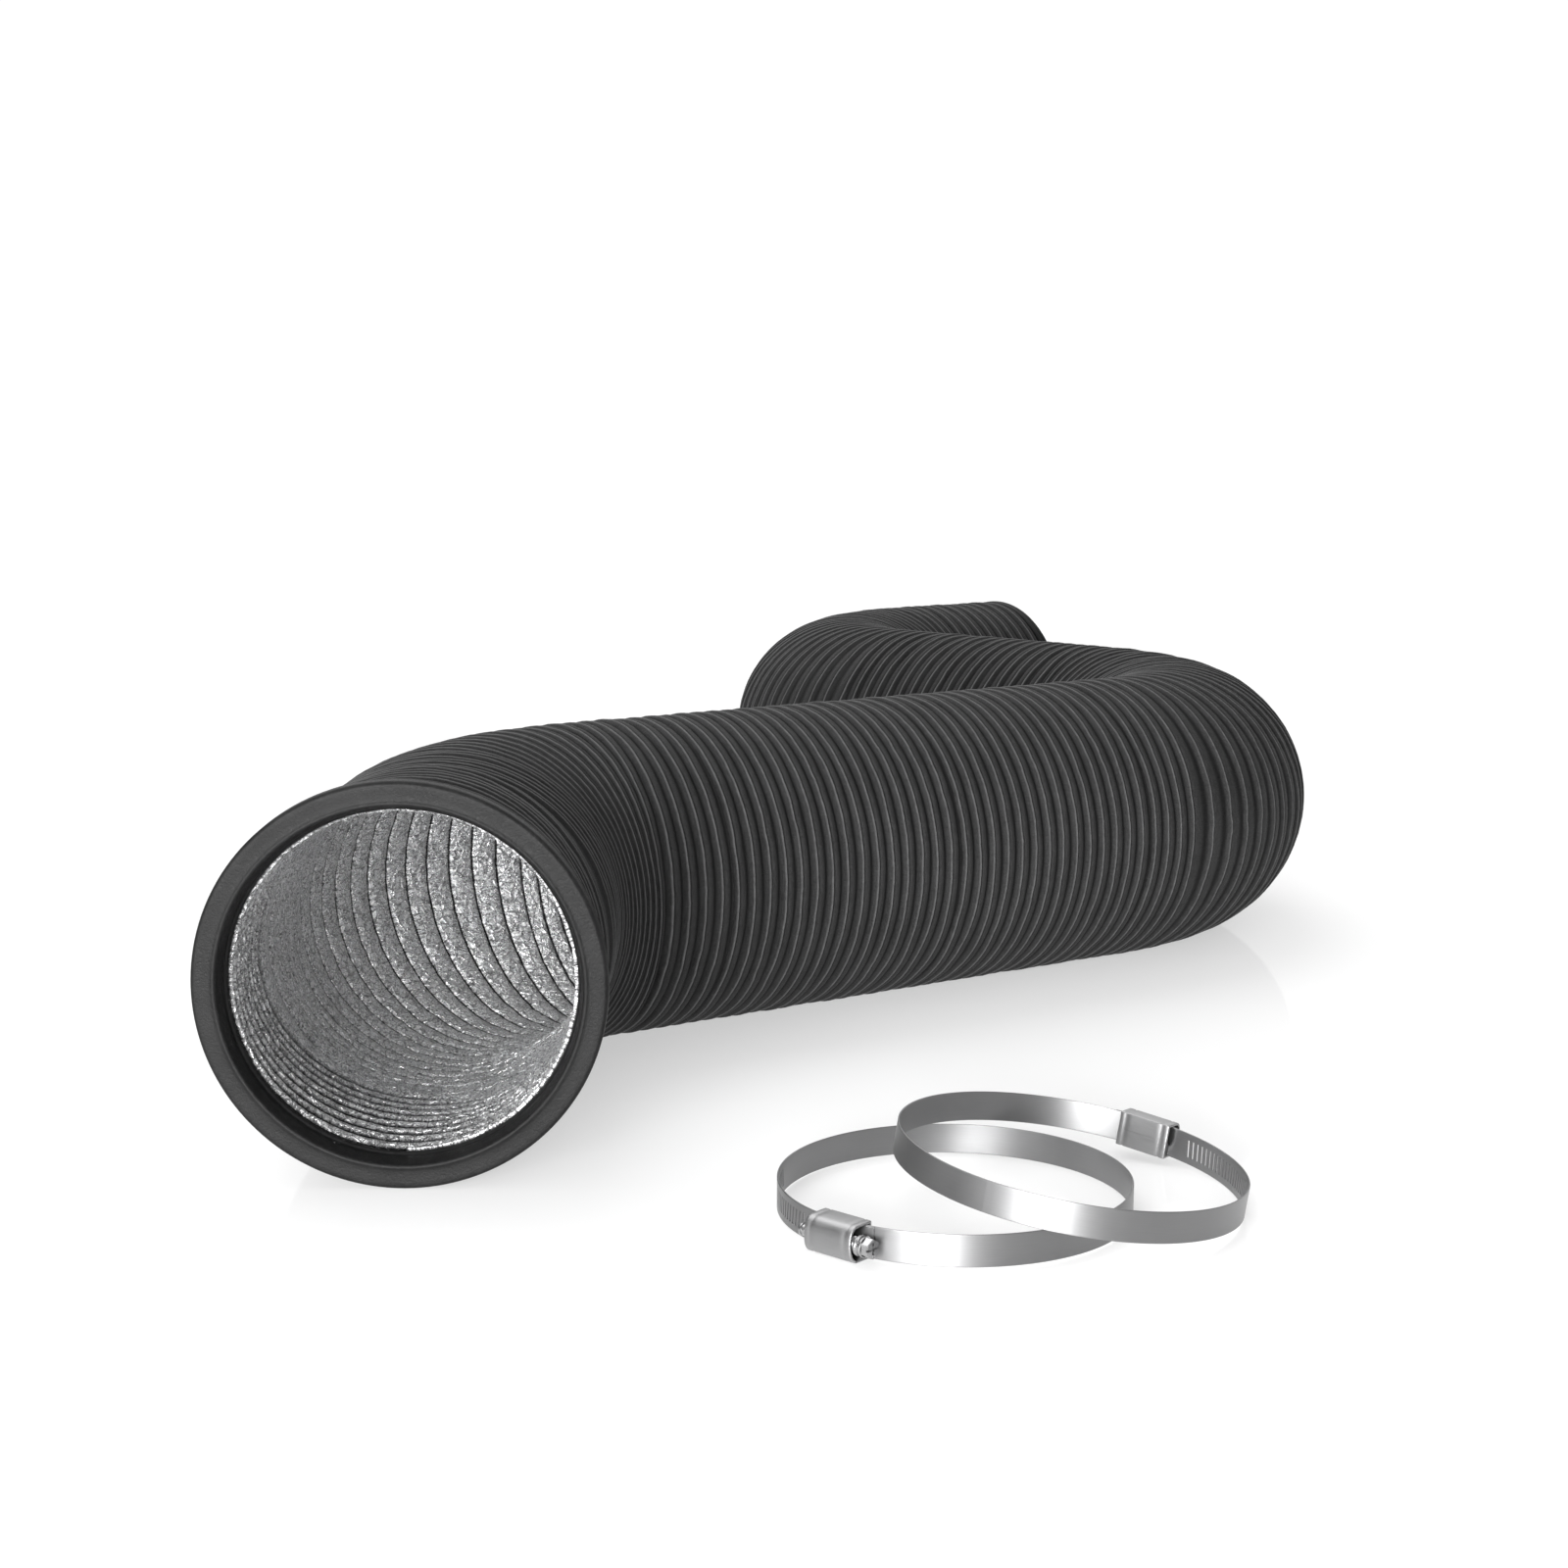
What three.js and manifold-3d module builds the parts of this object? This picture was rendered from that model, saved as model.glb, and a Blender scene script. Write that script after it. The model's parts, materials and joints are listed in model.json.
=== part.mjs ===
// Flexible 150 mm air duct lying on the floor in an S, with its two worm-drive hose clamps.
// Millimetres, +Z up, floor at z = 0. The mouth faces -Y. A distance along the duct is
// measured from the mouth's face, and a turn is positive to the right, walking inwards.

import * as THREE from 'three';
import * as BufferGeometryUtils from 'three/addons/utils/BufferGeometryUtils.js';
import Module from 'manifold-3d';

const wasm = await Module();
wasm.setup();

// ---------------------------------------------------------------- driving dimensions

const DUCT_RADIUS = 85;        // over the ribs
const MOUTH_RADIUS = 90;       // over the moulded mouth collar
const MOUTH_BORE = 74.5;       // slides over a 6 inch (nominal 150 mm) spigot
const MOUTH_DEPTH = 13;        // flange of the mouth collar, along the duct
const SPIGOT_END = 34;         // rear end of the mouth collar's inner sleeve
const SPIGOT_RADIUS = 75.4;
const SLEEVE_ROOT = 3;         // the sleeve starts this far inside the flange
const PLEATS_END = 44;         // finely pleated cuff behind the flange
const TAIL_RING = 7;           // end ring's length along the duct
const RISE = { from: 30, to: 150 };    // where the centre line climbs to the larger mouth

const LEGS = [                 // the way that the duct lies, from mouth to tail
  { straight: 154 },
  { turn: 57, radius: 129 },
  { straight: 360 },
  { turn: -105, radius: 128 },
  { straight: 161 },
  { turn: 105, radius: 130 },
  { straight: 88 },
];

const GAP = 0.3;               // between touching pieces
const FLOOR_CLEARANCE = 0.03;  // under the clamps
const JACKET = { sides: 24, outer: DUCT_RADIUS, inner: 81.6 };
const WIRE = { sides: 16, outer: 79, inner: 77.8 };
const LINER = { sides: 16, outer: 77.4, inner: 76.2 };
const STEP_DEGREES = 14.5;     // largest turn between two rings of a bend

const BAND = { radius: 75.5, thickness: 0.7, width: 13.5 };
const HEAD_HALF = { from: -8, to: 179.75 };        // degrees from the housing
const SLOTTED_HALF = { from: 180.25, to: 372, liftFrom: 300, liftTo: 345 };
const SADDLE = { half: 8.5, thickness: 1, below: 0.15 };
const SLOT = { count: 22, pitch: 2.8, width: 1.1, height: 7.6, first: 17, lean: 8 };
const HOUSING = { length: 24, wall: 0.8, side: 0.25, roof: 84.8, shoulder: 79.2, lip: 4.6 };
const HOUSING_LIP = { from: 71.1, to: 72 };        // radii, under the saddle
const SCREW = { radius: 80.1, worm: 3.3, root: 2.7, head: 4.3, hex: 4.1, tail: 2.7, neck: 2.5 };
const WORM = { from: -11.6, to: 11.4, threads: 4, flank: 2, crest: 4.2 };
const SCREW_TAIL = { from: -17, to: -13.4, pin: 1.9 };   // along the screw from its middle
const SCREW_HEAD = { neck: 11.6, from: 13, to: 16.6, hexTo: 20.2, slot: 1.1, cross: 3.4 };

const CLAMP_A = { x: 238, y: -23, housing: 229, tilt: 0.4, lowSide: 49 };
const CLAMP_B = { x: 286.5, y: -19, housing: 56, tilt: 8.8, lowSide: 0 };

const rad = THREE.MathUtils.degToRad;

function look(color, roughness, metalness) {
  return new THREE.MeshStandardMaterial({ color, roughness, metalness });
}
const MATERIALS = {
  jacket: look(0x232324, 0.62, 0),
  collar: look(0x2c2d2e, 0.42, 0),
  wire: look(0x6d6f72, 0.4, 1),
  foil: look(0xb9bbbe, 0.32, 1),
  steel: look(0xc4c6c9, 0.26, 1),
  housing: look(0xb0b2b5, 0.32, 1),
  screw: look(0x9fa1a4, 0.3, 1),
};

const duct = new THREE.Group();

function place(name, geometry, material, parent = duct) {
  const mesh = new THREE.Mesh(geometry, material);
  mesh.name = name;
  parent.add(mesh);
  return mesh;
}

// ---------------------------------------------------------------- the duct's centre line

const legLength = (leg) => leg.straight ?? rad(Math.abs(leg.turn)) * leg.radius;
const LEG_STARTS = LEGS.reduce((starts, leg) => [...starts, starts.at(-1) + legLength(leg)], [0]);
const DUCT_LENGTH = LEG_STARTS.at(-1);

// The mouth collar is larger than the duct, so the first straight rises towards it.
function centreHeight(s) {
  const t = THREE.MathUtils.smoothstep(s, RISE.from, RISE.to);
  return THREE.MathUtils.lerp(MOUTH_RADIUS, DUCT_RADIUS, t);
}

// Place and heading at a distance along the duct. A heading is an angle from +Y towards +X.
function routeAt(distance) {
  let [x, y, heading] = [0, 0, 0];
  for (const [i, leg] of LEGS.entries()) {
    const along = Math.min(distance, LEG_STARTS[i + 1]) - LEG_STARTS[i];
    if (along <= 0) break;
    if (leg.straight) {
      x += along * Math.sin(heading);
      y += along * Math.cos(heading);
    } else {
      const turned = heading + Math.sign(leg.turn) * along / leg.radius;
      const sign = Math.sign(leg.turn) * leg.radius;
      x += sign * (Math.cos(heading) - Math.cos(turned));
      y += sign * (Math.sin(turned) - Math.sin(heading));
      heading = turned;
    }
  }
  return { point: new THREE.Vector3(x, y, centreHeight(distance)), heading };
}

// Distances of the rings that every layer of the duct is built on.
function routeRings() {
  const rings = [0, 1, 2, 3].map((k) => THREE.MathUtils.lerp(RISE.from, RISE.to, k / 4));
  for (const [i, leg] of LEGS.entries()) {
    const steps = leg.straight ? 1 : 2 * Math.ceil(Math.abs(leg.turn) / STEP_DEGREES / 2);
    for (let k = 0; k <= steps; k++) {
      rings.push(THREE.MathUtils.lerp(LEG_STARTS[i], LEG_STARTS[i + 1], k / steps));
    }
  }
  rings.sort((a, b) => a - b);
  return rings.filter((s, k) => k === 0 || s - rings[k - 1] > 1);
}
const RINGS = routeRings();

// A path with its own rings: upright sections that face along the heading.
class SectionPath extends THREE.Curve {
  constructor(sections) {
    super();
    this.sections = sections;
  }
  getPoint(t) {
    return this.sections[Math.round(t * (this.sections.length - 1))].point.clone();
  }
  getSpacedPoints() {
    return this.sections.map((section) => section.point.clone());
  }
  computeFrenetFrames() {
    return {
      tangents: this.sections.map((section) => section.tangent.clone()),
      normals: this.sections.map((section) => section.side.clone()),
      binormals: this.sections.map(({ tangent, side }) => tangent.clone().cross(side)),
    };
  }
}

function sweep(shape, sections) {
  return new THREE.ExtrudeGeometry(shape, {
    steps: sections.length - 1,
    extrudePath: new SectionPath(sections),
    curveSegments: 1,
  });
}

function ductSections(from, to) {
  const distances = [from, ...RINGS.filter((s) => s > from + 2 && s < to - 2), to];
  return distances.map((s) => {
    const { point, heading } = routeAt(s);
    return {
      point,
      tangent: new THREE.Vector3(Math.sin(heading), Math.cos(heading), 0),
      side: new THREE.Vector3(Math.cos(heading), -Math.sin(heading), 0),
    };
  });
}

// A ring of flat sides around a circle, so that a flat side lies on the floor.
function polygonPoints(radius, sides) {
  const corner = radius / Math.cos(Math.PI / sides);
  return Array.from({ length: sides }, (_, k) => {
    const a = 2 * Math.PI * (k + 0.5) / sides;
    return new THREE.Vector2(corner * Math.cos(a), corner * Math.sin(a));
  });
}

function tubeShape({ sides, outer, inner }) {
  const shape = new THREE.Shape(polygonPoints(outer, sides));
  shape.holes.push(new THREE.Path(polygonPoints(inner, sides)));
  return shape;
}

function ductTube(layer, from, to) {
  return sweep(tubeShape(layer), ductSections(from + GAP / 2, to - GAP / 2));
}

// ---------------------------------------------------------------- the duct

const middleOf = (leg) => (LEG_STARTS[leg] + LEG_STARTS[leg + 1]) / 2;

// Stations where the duct flexes: each stretch between two of them is one body.
const STATIONS = [
  70,                                  // the mouth end lifts
  middleOf(1),                         // bend 1
  LEG_STARTS[2] + 115,                 // run 1 turns
  LEG_STARTS[2] + 258,                 // run 1 stretches
  middleOf(3),                         // bend 2
  middleOf(4),                         // run 2 lifts
  middleOf(5),                         // bend 3
];
const TAIL_START = DUCT_LENGTH - TAIL_RING;
const STRETCHES = [MOUTH_DEPTH, ...STATIONS, TAIL_START];

// A stretch's jacket is split at each leg's end, and a bend's at every 30 degrees or less.
function jacketCuts(from, to) {
  const cuts = [from];
  for (const [i, leg] of LEGS.entries()) {
    const parts = leg.straight ? 1 : Math.ceil(Math.abs(leg.turn) / 30);
    for (let k = 0; k < parts; k++) {
      const s = THREE.MathUtils.lerp(LEG_STARTS[i], LEG_STARTS[i + 1], k / parts);
      if (s > from + 20 && s < to - 20) cuts.push(s);
    }
  }
  return [...cuts, to];
}

function buildDuct() {
  for (let k = 0; k + 1 < STRETCHES.length; k++) {
    const [from, to] = [STRETCHES[k], STRETCHES[k + 1]];
    const cuts = k === 0 ? [PLEATS_END, to] : jacketCuts(from, to);
    for (let c = 0; c + 1 < cuts.length; c++) {
      const name = `jacket_${k + 1}` + (cuts.length > 2 ? 'abc'[c] : '');
      place(name, ductTube(JACKET, cuts[c], cuts[c + 1]), MATERIALS.jacket);
    }
    place(`wire_helix_${k + 1}`, ductTube(WIRE, from, to), MATERIALS.wire);
    place(`foil_liner_${k + 1}`, ductTube(LINER, from, to), MATERIALS.foil);
  }
  place('pleated_cuff', ductTube(JACKET, MOUTH_DEPTH, PLEATS_END), MATERIALS.jacket);
}

// The mouth collar is a flange with a thin sleeve behind it that reaches inside the liner.
function buildMouthCollar() {
  const flange = ductSections(0, MOUTH_DEPTH - GAP / 2);
  const sleeve = ductSections(MOUTH_DEPTH - SLEEVE_ROOT, SPIGOT_END);
  const { sides } = JACKET;
  const collar = join(
    sweep(tubeShape({ sides, outer: MOUTH_RADIUS, inner: MOUTH_BORE }), flange),
    sweep(tubeShape({ sides, outer: SPIGOT_RADIUS, inner: MOUTH_BORE }), sleeve),
  );
  place('mouth_collar', collar, MATERIALS.collar);
}

function buildTailRing() {
  const shape = tubeShape({ sides: JACKET.sides, outer: JACKET.outer, inner: LINER.inner });
  const ring = sweep(shape, ductSections(TAIL_START + GAP / 2, DUCT_LENGTH));
  place('tail_end_ring', ring, MATERIALS.collar);
}

// ---------------------------------------------------------------- joining and cutting

function toSolid(geometry) {
  const bare = geometry.clone();
  bare.deleteAttribute('normal');
  bare.deleteAttribute('uv');
  const merged = BufferGeometryUtils.mergeVertices(bare, 1e-4);
  return new wasm.Manifold(new wasm.Mesh({
    numProp: 3,
    vertProperties: new Float32Array(merged.attributes.position.array),
    triVerts: new Uint32Array(merged.index.array),
  }));
}

function toGeometry(solid) {
  const mesh = solid.getMesh();
  const geometry = new THREE.BufferGeometry();
  geometry.setAttribute('position', new THREE.BufferAttribute(mesh.vertProperties, 3));
  geometry.setIndex(new THREE.BufferAttribute(mesh.triVerts, 1));
  const flat = geometry.toNonIndexed();
  flat.computeVertexNormals();
  return flat;
}

function join(...geometries) {
  return toGeometry(geometries.map(toSolid).reduce((a, b) => a.add(b)));
}

function cut(geometry, ...tools) {
  return toGeometry(tools.map(toSolid).reduce((a, b) => a.subtract(b), toSolid(geometry)));
}

// ---------------------------------------------------------------- the hose clamps
// A clamp is built around its own +Z, from z = 0 to the band's width, with its housing
// towards +X. The band's slots lie clockwise of the housing, the screw's head the other way.

// A strip of the band's section along an arc. Its radius may grow by lift towards its end.
function stripAlong(fromDegrees, toDegrees, radius, thickness, lift = () => 0) {
  const steps = Math.ceil((toDegrees - fromDegrees) / 7.5);
  const sections = Array.from({ length: steps + 1 }, (_, k) => {
    const degrees = THREE.MathUtils.lerp(fromDegrees, toDegrees, k / steps);
    const out = new THREE.Vector3(Math.cos(rad(degrees)), Math.sin(rad(degrees)), 0);
    return {
      point: out.clone().multiplyScalar(radius + lift(degrees)).setZ(BAND.width / 2),
      tangent: new THREE.Vector3(-out.y, out.x, 0),
      side: out,
    };
  });
  const [t, w] = [thickness / 2, BAND.width / 2];
  const corners = [[-t, -w], [t, -w], [t, w], [-t, w]];
  const shape = new THREE.Shape(corners.map(([a, b]) => new THREE.Vector2(a, b)));
  return sweep(shape, sections);
}

const BAND_MIDDLE = BAND.radius - BAND.thickness / 2;
const TAIL_LIFT = BAND.thickness + GAP;       // the slotted end rides over the head end
const SLOT_CUTTER = 6;                        // deep enough to cut the lifted end too

function slottedBand() {
  const { from, to, liftFrom, liftTo } = SLOTTED_HALF;
  const lift = (degrees) => TAIL_LIFT * THREE.MathUtils.smoothstep(degrees, liftFrom, liftTo);
  const strip = stripAlong(from, to, BAND_MIDDLE, BAND.thickness, lift);
  const slots = Array.from({ length: SLOT.count }, (_, k) => {
    const degrees = -SLOT.first - THREE.MathUtils.radToDeg(k * SLOT.pitch / BAND.radius);
    const slot = new THREE.BoxGeometry(SLOT_CUTTER, SLOT.width, SLOT.height);
    slot.rotateX(rad(SLOT.lean));
    slot.translate(BAND.radius, 0, BAND.width / 2);
    return slot.rotateZ(rad(degrees));
  });
  return cut(strip, ...slots);
}

// A rolled cover around the worm, with lips that hook under the saddle. Drawn across the
// clamp (x outwards, y along the clamp's axis) and extruded along the band.
function housingCover() {
  const inner = BAND.width / 2 + HOUSING.side;
  const outer = inner + HOUSING.wall;
  const { shoulder, lip } = HOUSING;
  const arcSteps = 8;
  const roof = (half, top) => Array.from({ length: arcSteps + 1 }, (_, k) => {
    const a = Math.PI * k / arcSteps;
    return [shoulder + (top - shoulder) * Math.sin(a), half * Math.cos(a)];
  });
  const points = [
    [HOUSING_LIP.from, lip],
    [HOUSING_LIP.from, outer],
    ...roof(outer, HOUSING.roof),
    [HOUSING_LIP.from, -outer],
    [HOUSING_LIP.from, -lip],
    [HOUSING_LIP.to, -lip],
    [HOUSING_LIP.to, -inner],
    ...roof(inner, HOUSING.roof - HOUSING.wall).reverse(),
    [HOUSING_LIP.to, inner],
    [HOUSING_LIP.to, lip],
  ];
  const outline = points.map(([x, y]) => new THREE.Vector2(x, y));
  const sections = [-1, 1].map((end) => ({
    point: new THREE.Vector3(0, end * HOUSING.length / 2, BAND.width / 2),
    tangent: new THREE.Vector3(0, 1, 0),
    side: new THREE.Vector3(1, 0, 0),
  }));
  return sweep(new THREE.Shape(outline.reverse()), sections);
}

// Worm, neck, round head with a hexagon on its end, and the plain pin at the other end.
function clampScrew() {
  const { from, to, threads, flank, crest } = WORM;
  const rod = [
    [0, SCREW_TAIL.from],
    [SCREW.tail, SCREW_TAIL.from],
    [SCREW.tail, SCREW_TAIL.to],
    [SCREW_TAIL.pin, SCREW_TAIL.to],
    [SCREW_TAIL.pin, from],
  ];
  for (let k = 0; k < threads; k++) {
    const at = THREE.MathUtils.lerp(from, to, k / threads);
    rod.push([SCREW.root, at], [SCREW.worm, at + flank], [SCREW.worm, at + crest]);
  }
  rod.push([SCREW.neck, SCREW_HEAD.neck], [SCREW.neck, SCREW_HEAD.from]);
  rod.push([SCREW.head, SCREW_HEAD.from], [SCREW.head, SCREW_HEAD.to], [0, SCREW_HEAD.to]);
  const turned = new THREE.LatheGeometry(rod.map(([r, h]) => new THREE.Vector2(r, h)), 12);
  const { hexTo, slot, cross } = SCREW_HEAD;
  const hexLength = 4;                        // reaches into the round head
  const hex = new THREE.CylinderGeometry(SCREW.hex, SCREW.hex, hexLength, 6);
  hex.translate(0, hexTo - hexLength / 2, 0);
  const slotCutter = new THREE.BoxGeometry(2.2 * SCREW.hex, 2.4, slot).translate(0, hexTo, 0);
  const crossCutter = new THREE.BoxGeometry(slot, cross, 4.6).translate(0, hexTo, 0);
  const screw = cut(join(turned, hex), slotCutter, crossCutter);
  return screw.translate(SCREW.radius, 0, BAND.width / 2);
}

function buildClamp(letter, { x, y, housing, tilt, lowSide }) {
  const spin = new THREE.Matrix4().makeRotationZ(rad(housing));
  const lowAxis = new THREE.Vector3(-Math.sin(rad(lowSide)), Math.cos(rad(lowSide)), 0);
  const lean = new THREE.Matrix4().makeRotationAxis(lowAxis, rad(tilt));
  const group = new THREE.Group();
  group.applyMatrix4(lean.multiply(spin));
  group.position.set(x, y, BAND.radius * Math.sin(rad(tilt)) + FLOOR_CLEARANCE);
  duct.add(group);
  const headBand = stripAlong(HEAD_HALF.from, HEAD_HALF.to, BAND_MIDDLE, BAND.thickness);
  place(`clamp_${letter}_head_band`, headBand, MATERIALS.steel, group);
  place(`clamp_${letter}_slotted_band`, slottedBand(), MATERIALS.steel, group);
  const saddleMiddle = BAND_MIDDLE - TAIL_LIFT - SADDLE.below;
  const saddle = stripAlong(-SADDLE.half, SADDLE.half, saddleMiddle, SADDLE.thickness);
  place(`clamp_${letter}_saddle`, saddle, MATERIALS.housing, group);
  place(`clamp_${letter}_housing`, housingCover(), MATERIALS.housing, group);
  place(`clamp_${letter}_screw`, clampScrew(), MATERIALS.screw, group);
}

// ---------------------------------------------------------------- the assembly

buildDuct();
buildMouthCollar();
buildTailRing();
buildClamp('a', CLAMP_A);
buildClamp('b', CLAMP_B);

// The origin is on the floor, under the middle of the assembly's bounding box.
duct.updateMatrixWorld(true);
const bounds = new THREE.Box3().setFromObject(duct, true);
const middle = bounds.getCenter(new THREE.Vector3());
duct.position.set(-middle.x, -middle.y, -bounds.min.z);
duct.updateMatrixWorld(true);

export default duct;
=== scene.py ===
"""A flexible air duct in an S on a pale floor, with two worm-drive hose clamps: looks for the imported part."""

import json
import math

import bmesh
import bpy
import numpy as np
from mathutils import Matrix, Vector


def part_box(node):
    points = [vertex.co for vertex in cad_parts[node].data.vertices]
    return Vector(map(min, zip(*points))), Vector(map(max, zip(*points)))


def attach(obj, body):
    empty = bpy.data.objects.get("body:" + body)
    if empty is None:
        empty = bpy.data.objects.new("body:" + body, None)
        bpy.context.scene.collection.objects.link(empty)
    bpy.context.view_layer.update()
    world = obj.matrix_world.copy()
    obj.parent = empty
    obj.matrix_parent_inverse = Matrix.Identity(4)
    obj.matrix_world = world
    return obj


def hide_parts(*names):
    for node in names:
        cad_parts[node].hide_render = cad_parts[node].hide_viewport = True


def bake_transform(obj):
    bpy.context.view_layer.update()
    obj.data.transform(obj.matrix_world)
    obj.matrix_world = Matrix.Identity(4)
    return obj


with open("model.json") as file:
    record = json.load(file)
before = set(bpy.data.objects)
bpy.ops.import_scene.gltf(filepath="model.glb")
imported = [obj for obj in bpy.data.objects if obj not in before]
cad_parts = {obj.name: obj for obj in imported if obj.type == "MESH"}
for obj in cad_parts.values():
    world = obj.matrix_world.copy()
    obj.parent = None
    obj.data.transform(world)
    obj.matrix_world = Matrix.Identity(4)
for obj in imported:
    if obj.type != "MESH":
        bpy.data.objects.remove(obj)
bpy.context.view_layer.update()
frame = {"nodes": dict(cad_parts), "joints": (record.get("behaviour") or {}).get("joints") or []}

# ---------------------------------------------------------------- driving dimensions, in metres
# A distance along the duct is measured from the mouth's face. A turn is positive to the right.

LEGS = [
    {"straight": 0.154},
    {"turn": 57, "radius": 0.129},
    {"straight": 0.360},
    {"turn": -105, "radius": 0.128},
    {"straight": 0.161},
    {"turn": 105, "radius": 0.130},
    {"straight": 0.088},
]
DUCT_RADIUS = 0.085          # over the ribs
RISE = (0.030, 0.150)        # where the centre line comes down from the larger mouth
BEND_EASE = 0.012            # over which a bend's curvature comes and goes
RIB_PITCH = 0.0098
CUFF_START = 0.013           # behind the collar's flange
CUFF_RIBS = 8                # closely gathered ribs of the cuff
CUFF_END = 0.108             # where the even ribs begin
RUN_OUT = 0.0006             # how far the helix runs on under the flange and the tail ring
TAIL_RING = 0.007
LINER_RADIUS = 0.0768
LINER_BORE = 0.0763          # of the tail ring
WIRE_RADIUS = 0.0784
WIRE_THICKNESS = 0.0011
CLOTH = 0.0005               # the jacket's thickness
FOIL_SHEET = 0.0002          # the lining's thickness
COLUMNS = 100                # around the duct

BAND_RADIUS = 0.0755
BAND_THICKNESS = 0.0007
BAND_WIDTH = 0.0135
SCREW_RADIUS = 0.0801        # of the screw's axis, from the clamp's centre
SLOT_PITCH = 0.0028          # also the pitch of the worm
SLOT_WIDTH = 0.0011
SLOT_HEIGHT = 0.0076
SLOT_COUNT = 22
FIRST_SLOT = 17              # degrees from the housing's middle
SLOT_LEAN = 8                # degrees from upright
HOUSING_LENGTH = 0.024


# ---------------------------------------------------------------- the duct's centre line

def leg_length(leg):
    return leg.get("straight") or math.radians(abs(leg["turn"])) * leg["radius"]


DUCT_LENGTH = sum(leg_length(leg) for leg in LEGS)
collar_low, collar_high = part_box("mouth_collar")
MOUTH = ((collar_low.x + collar_high.x) / 2, collar_low.y, (collar_low.z + collar_high.z) / 2)


def smoothstep(t):
    t = np.clip(t, 0, 1)
    return t * t * (3 - 2 * t)


def route(s):
    """x, y, z, heading and curvature (positive turning right) at distances s along the duct.

    The first straight leg also runs on before the mouth's face."""
    s = np.asarray(s, float)
    x, y, heading, curve = (np.zeros_like(s) for _ in range(4))
    start = 0.0
    for leg in LEGS:
        length = leg_length(leg)
        along = np.clip(s - start, 0, length)
        if leg is LEGS[0]:
            along = np.minimum(s - start, length)
        if "straight" in leg:
            x = x + along * np.sin(heading)
            y = y + along * np.cos(heading)
        else:
            sign = math.copysign(1, leg["turn"])
            turned = heading + sign * along / leg["radius"]
            x = x + sign * leg["radius"] * (np.cos(heading) - np.cos(turned))
            y = y + sign * leg["radius"] * (np.sin(turned) - np.sin(heading))
            heading = turned
            begun = smoothstep((s - start + BEND_EASE) / (2 * BEND_EASE))
            unfinished = smoothstep((start + length + BEND_EASE - s) / (2 * BEND_EASE))
            curve = curve + sign / leg["radius"] * (begun * unfinished)
        start += length
    z = MOUTH[2] + (DUCT_RADIUS - MOUTH[2]) * smoothstep((s - RISE[0]) / (RISE[1] - RISE[0]))
    return x + MOUTH[0], y + MOUTH[1], z, heading, curve


def section_point(s, around, radius):
    """Points at distance s, angle around (0 at the floor, a quarter turn at the right) and radius."""
    x, y, z, heading, _ = route(s)
    side = radius * np.sin(around)
    return np.stack([x + side * np.cos(heading), y - side * np.sin(heading), z - radius * np.cos(around)], -1)


# ---------------------------------------------------------------- ribs

def ripple(seed, turn, around, terms, waves, speeds):
    """A smooth random value for each point, which joins up around the duct. turn counts the helix's turns."""
    generator = np.random.default_rng(seed)
    total = np.zeros(np.broadcast(turn, around).shape)
    rounds = generator.integers(waves[0], waves[1], terms)
    per_turn = generator.uniform(speeds[0], speeds[1], terms)
    phases = generator.uniform(0, 2 * math.pi, terms)
    for k, w, phase in zip(rounds, per_turn, phases):
        total = total + np.sin(k * around + w * turn + phase)
    return total / math.sqrt(terms)


def cuff_end(around):
    """Where the cuff's gathered ribs end: pinched towards the mouth at both sides of the duct."""
    side = np.sin(around)
    return 0.098 - 0.027 * side ** 2 - 0.012 * np.clip(side, 0, 1)


EVEN_TURNS = round((DUCT_LENGTH - TAIL_RING - CUFF_END) / RIB_PITCH)
EVEN_PITCH = (DUCT_LENGTH - TAIL_RING - CUFF_END) / EVEN_TURNS
LAST_TURN = CUFF_RIBS + 1 + EVEN_TURNS


def rib_place(turn, around):
    """Distance along the duct of the rib's crest, after so many turns of its helix."""
    end = cuff_end(around)
    in_cuff = CUFF_START + (end - CUFF_START) * turn / CUFF_RIBS
    to_even = end + (CUFF_END - end) * (turn - CUFF_RIBS)
    even = CUFF_END + EVEN_PITCH * (turn - CUFF_RIBS - 1)
    place = np.where(turn < CUFF_RIBS, in_cuff, np.where(turn < CUFF_RIBS + 1, to_even, even))
    # The turns past either end are crowded together under the collar's flange and under the tail ring.
    crowding = 0.07
    low, high = CUFF_START - RUN_OUT, DUCT_LENGTH - TAIL_RING + RUN_OUT
    place = np.where(place < low, low + (place - low) * crowding, place)
    return np.where(place > high, high + (place - high) * crowding, place)


# Across a rib: offsets from its crest in metres, and depth below the crest. A thin groove follows the crest.
RIDGE = [(-0.0017, 0.0019), (-0.0010, 0.0007), (-0.0004, 0.0001), (0.0002, 0.0), (0.0007, 0.0003)]
RIDGE += [(0.0010, 0.0010), (0.0014, 0.0012), (0.0018, 0.0008), (0.0025, 0.0004)]
# Across the shoulder and the valley to the next rib: share of their width, and depth.
VALLEY = [(0.17, 0.0003), (0.36, 0.0006), (0.55, 0.0014), (0.72, 0.0023), (0.87, 0.0026)]
# The lining between two turns of wire: offsets and depth outwards from its inner face.
FOLD = [(-0.0013, 0.0), (-0.0006, 0.0005), (0.0, 0.0015), (0.0006, 0.0005), (0.0013, 0.0)]
PANEL = [(0.25, -0.0004), (0.5, -0.0006), (0.75, -0.0004)]


def bend_stretch(place, around):
    """The length of the duct's side against its centre line: under 1 on the inside of a bend."""
    curve = route(place)[-1]
    return np.clip(1 - curve * DUCT_RADIUS * np.sin(around), 0.3, 1.8)


def rib_squeeze(here, following, around, width):
    """How far a rib's section is narrowed, so that it leaves room for the valley before the next rib."""
    stretch = bend_stretch(here, around)
    return np.minimum(1, 0.72 * (following - here) * stretch / width) / stretch


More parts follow.
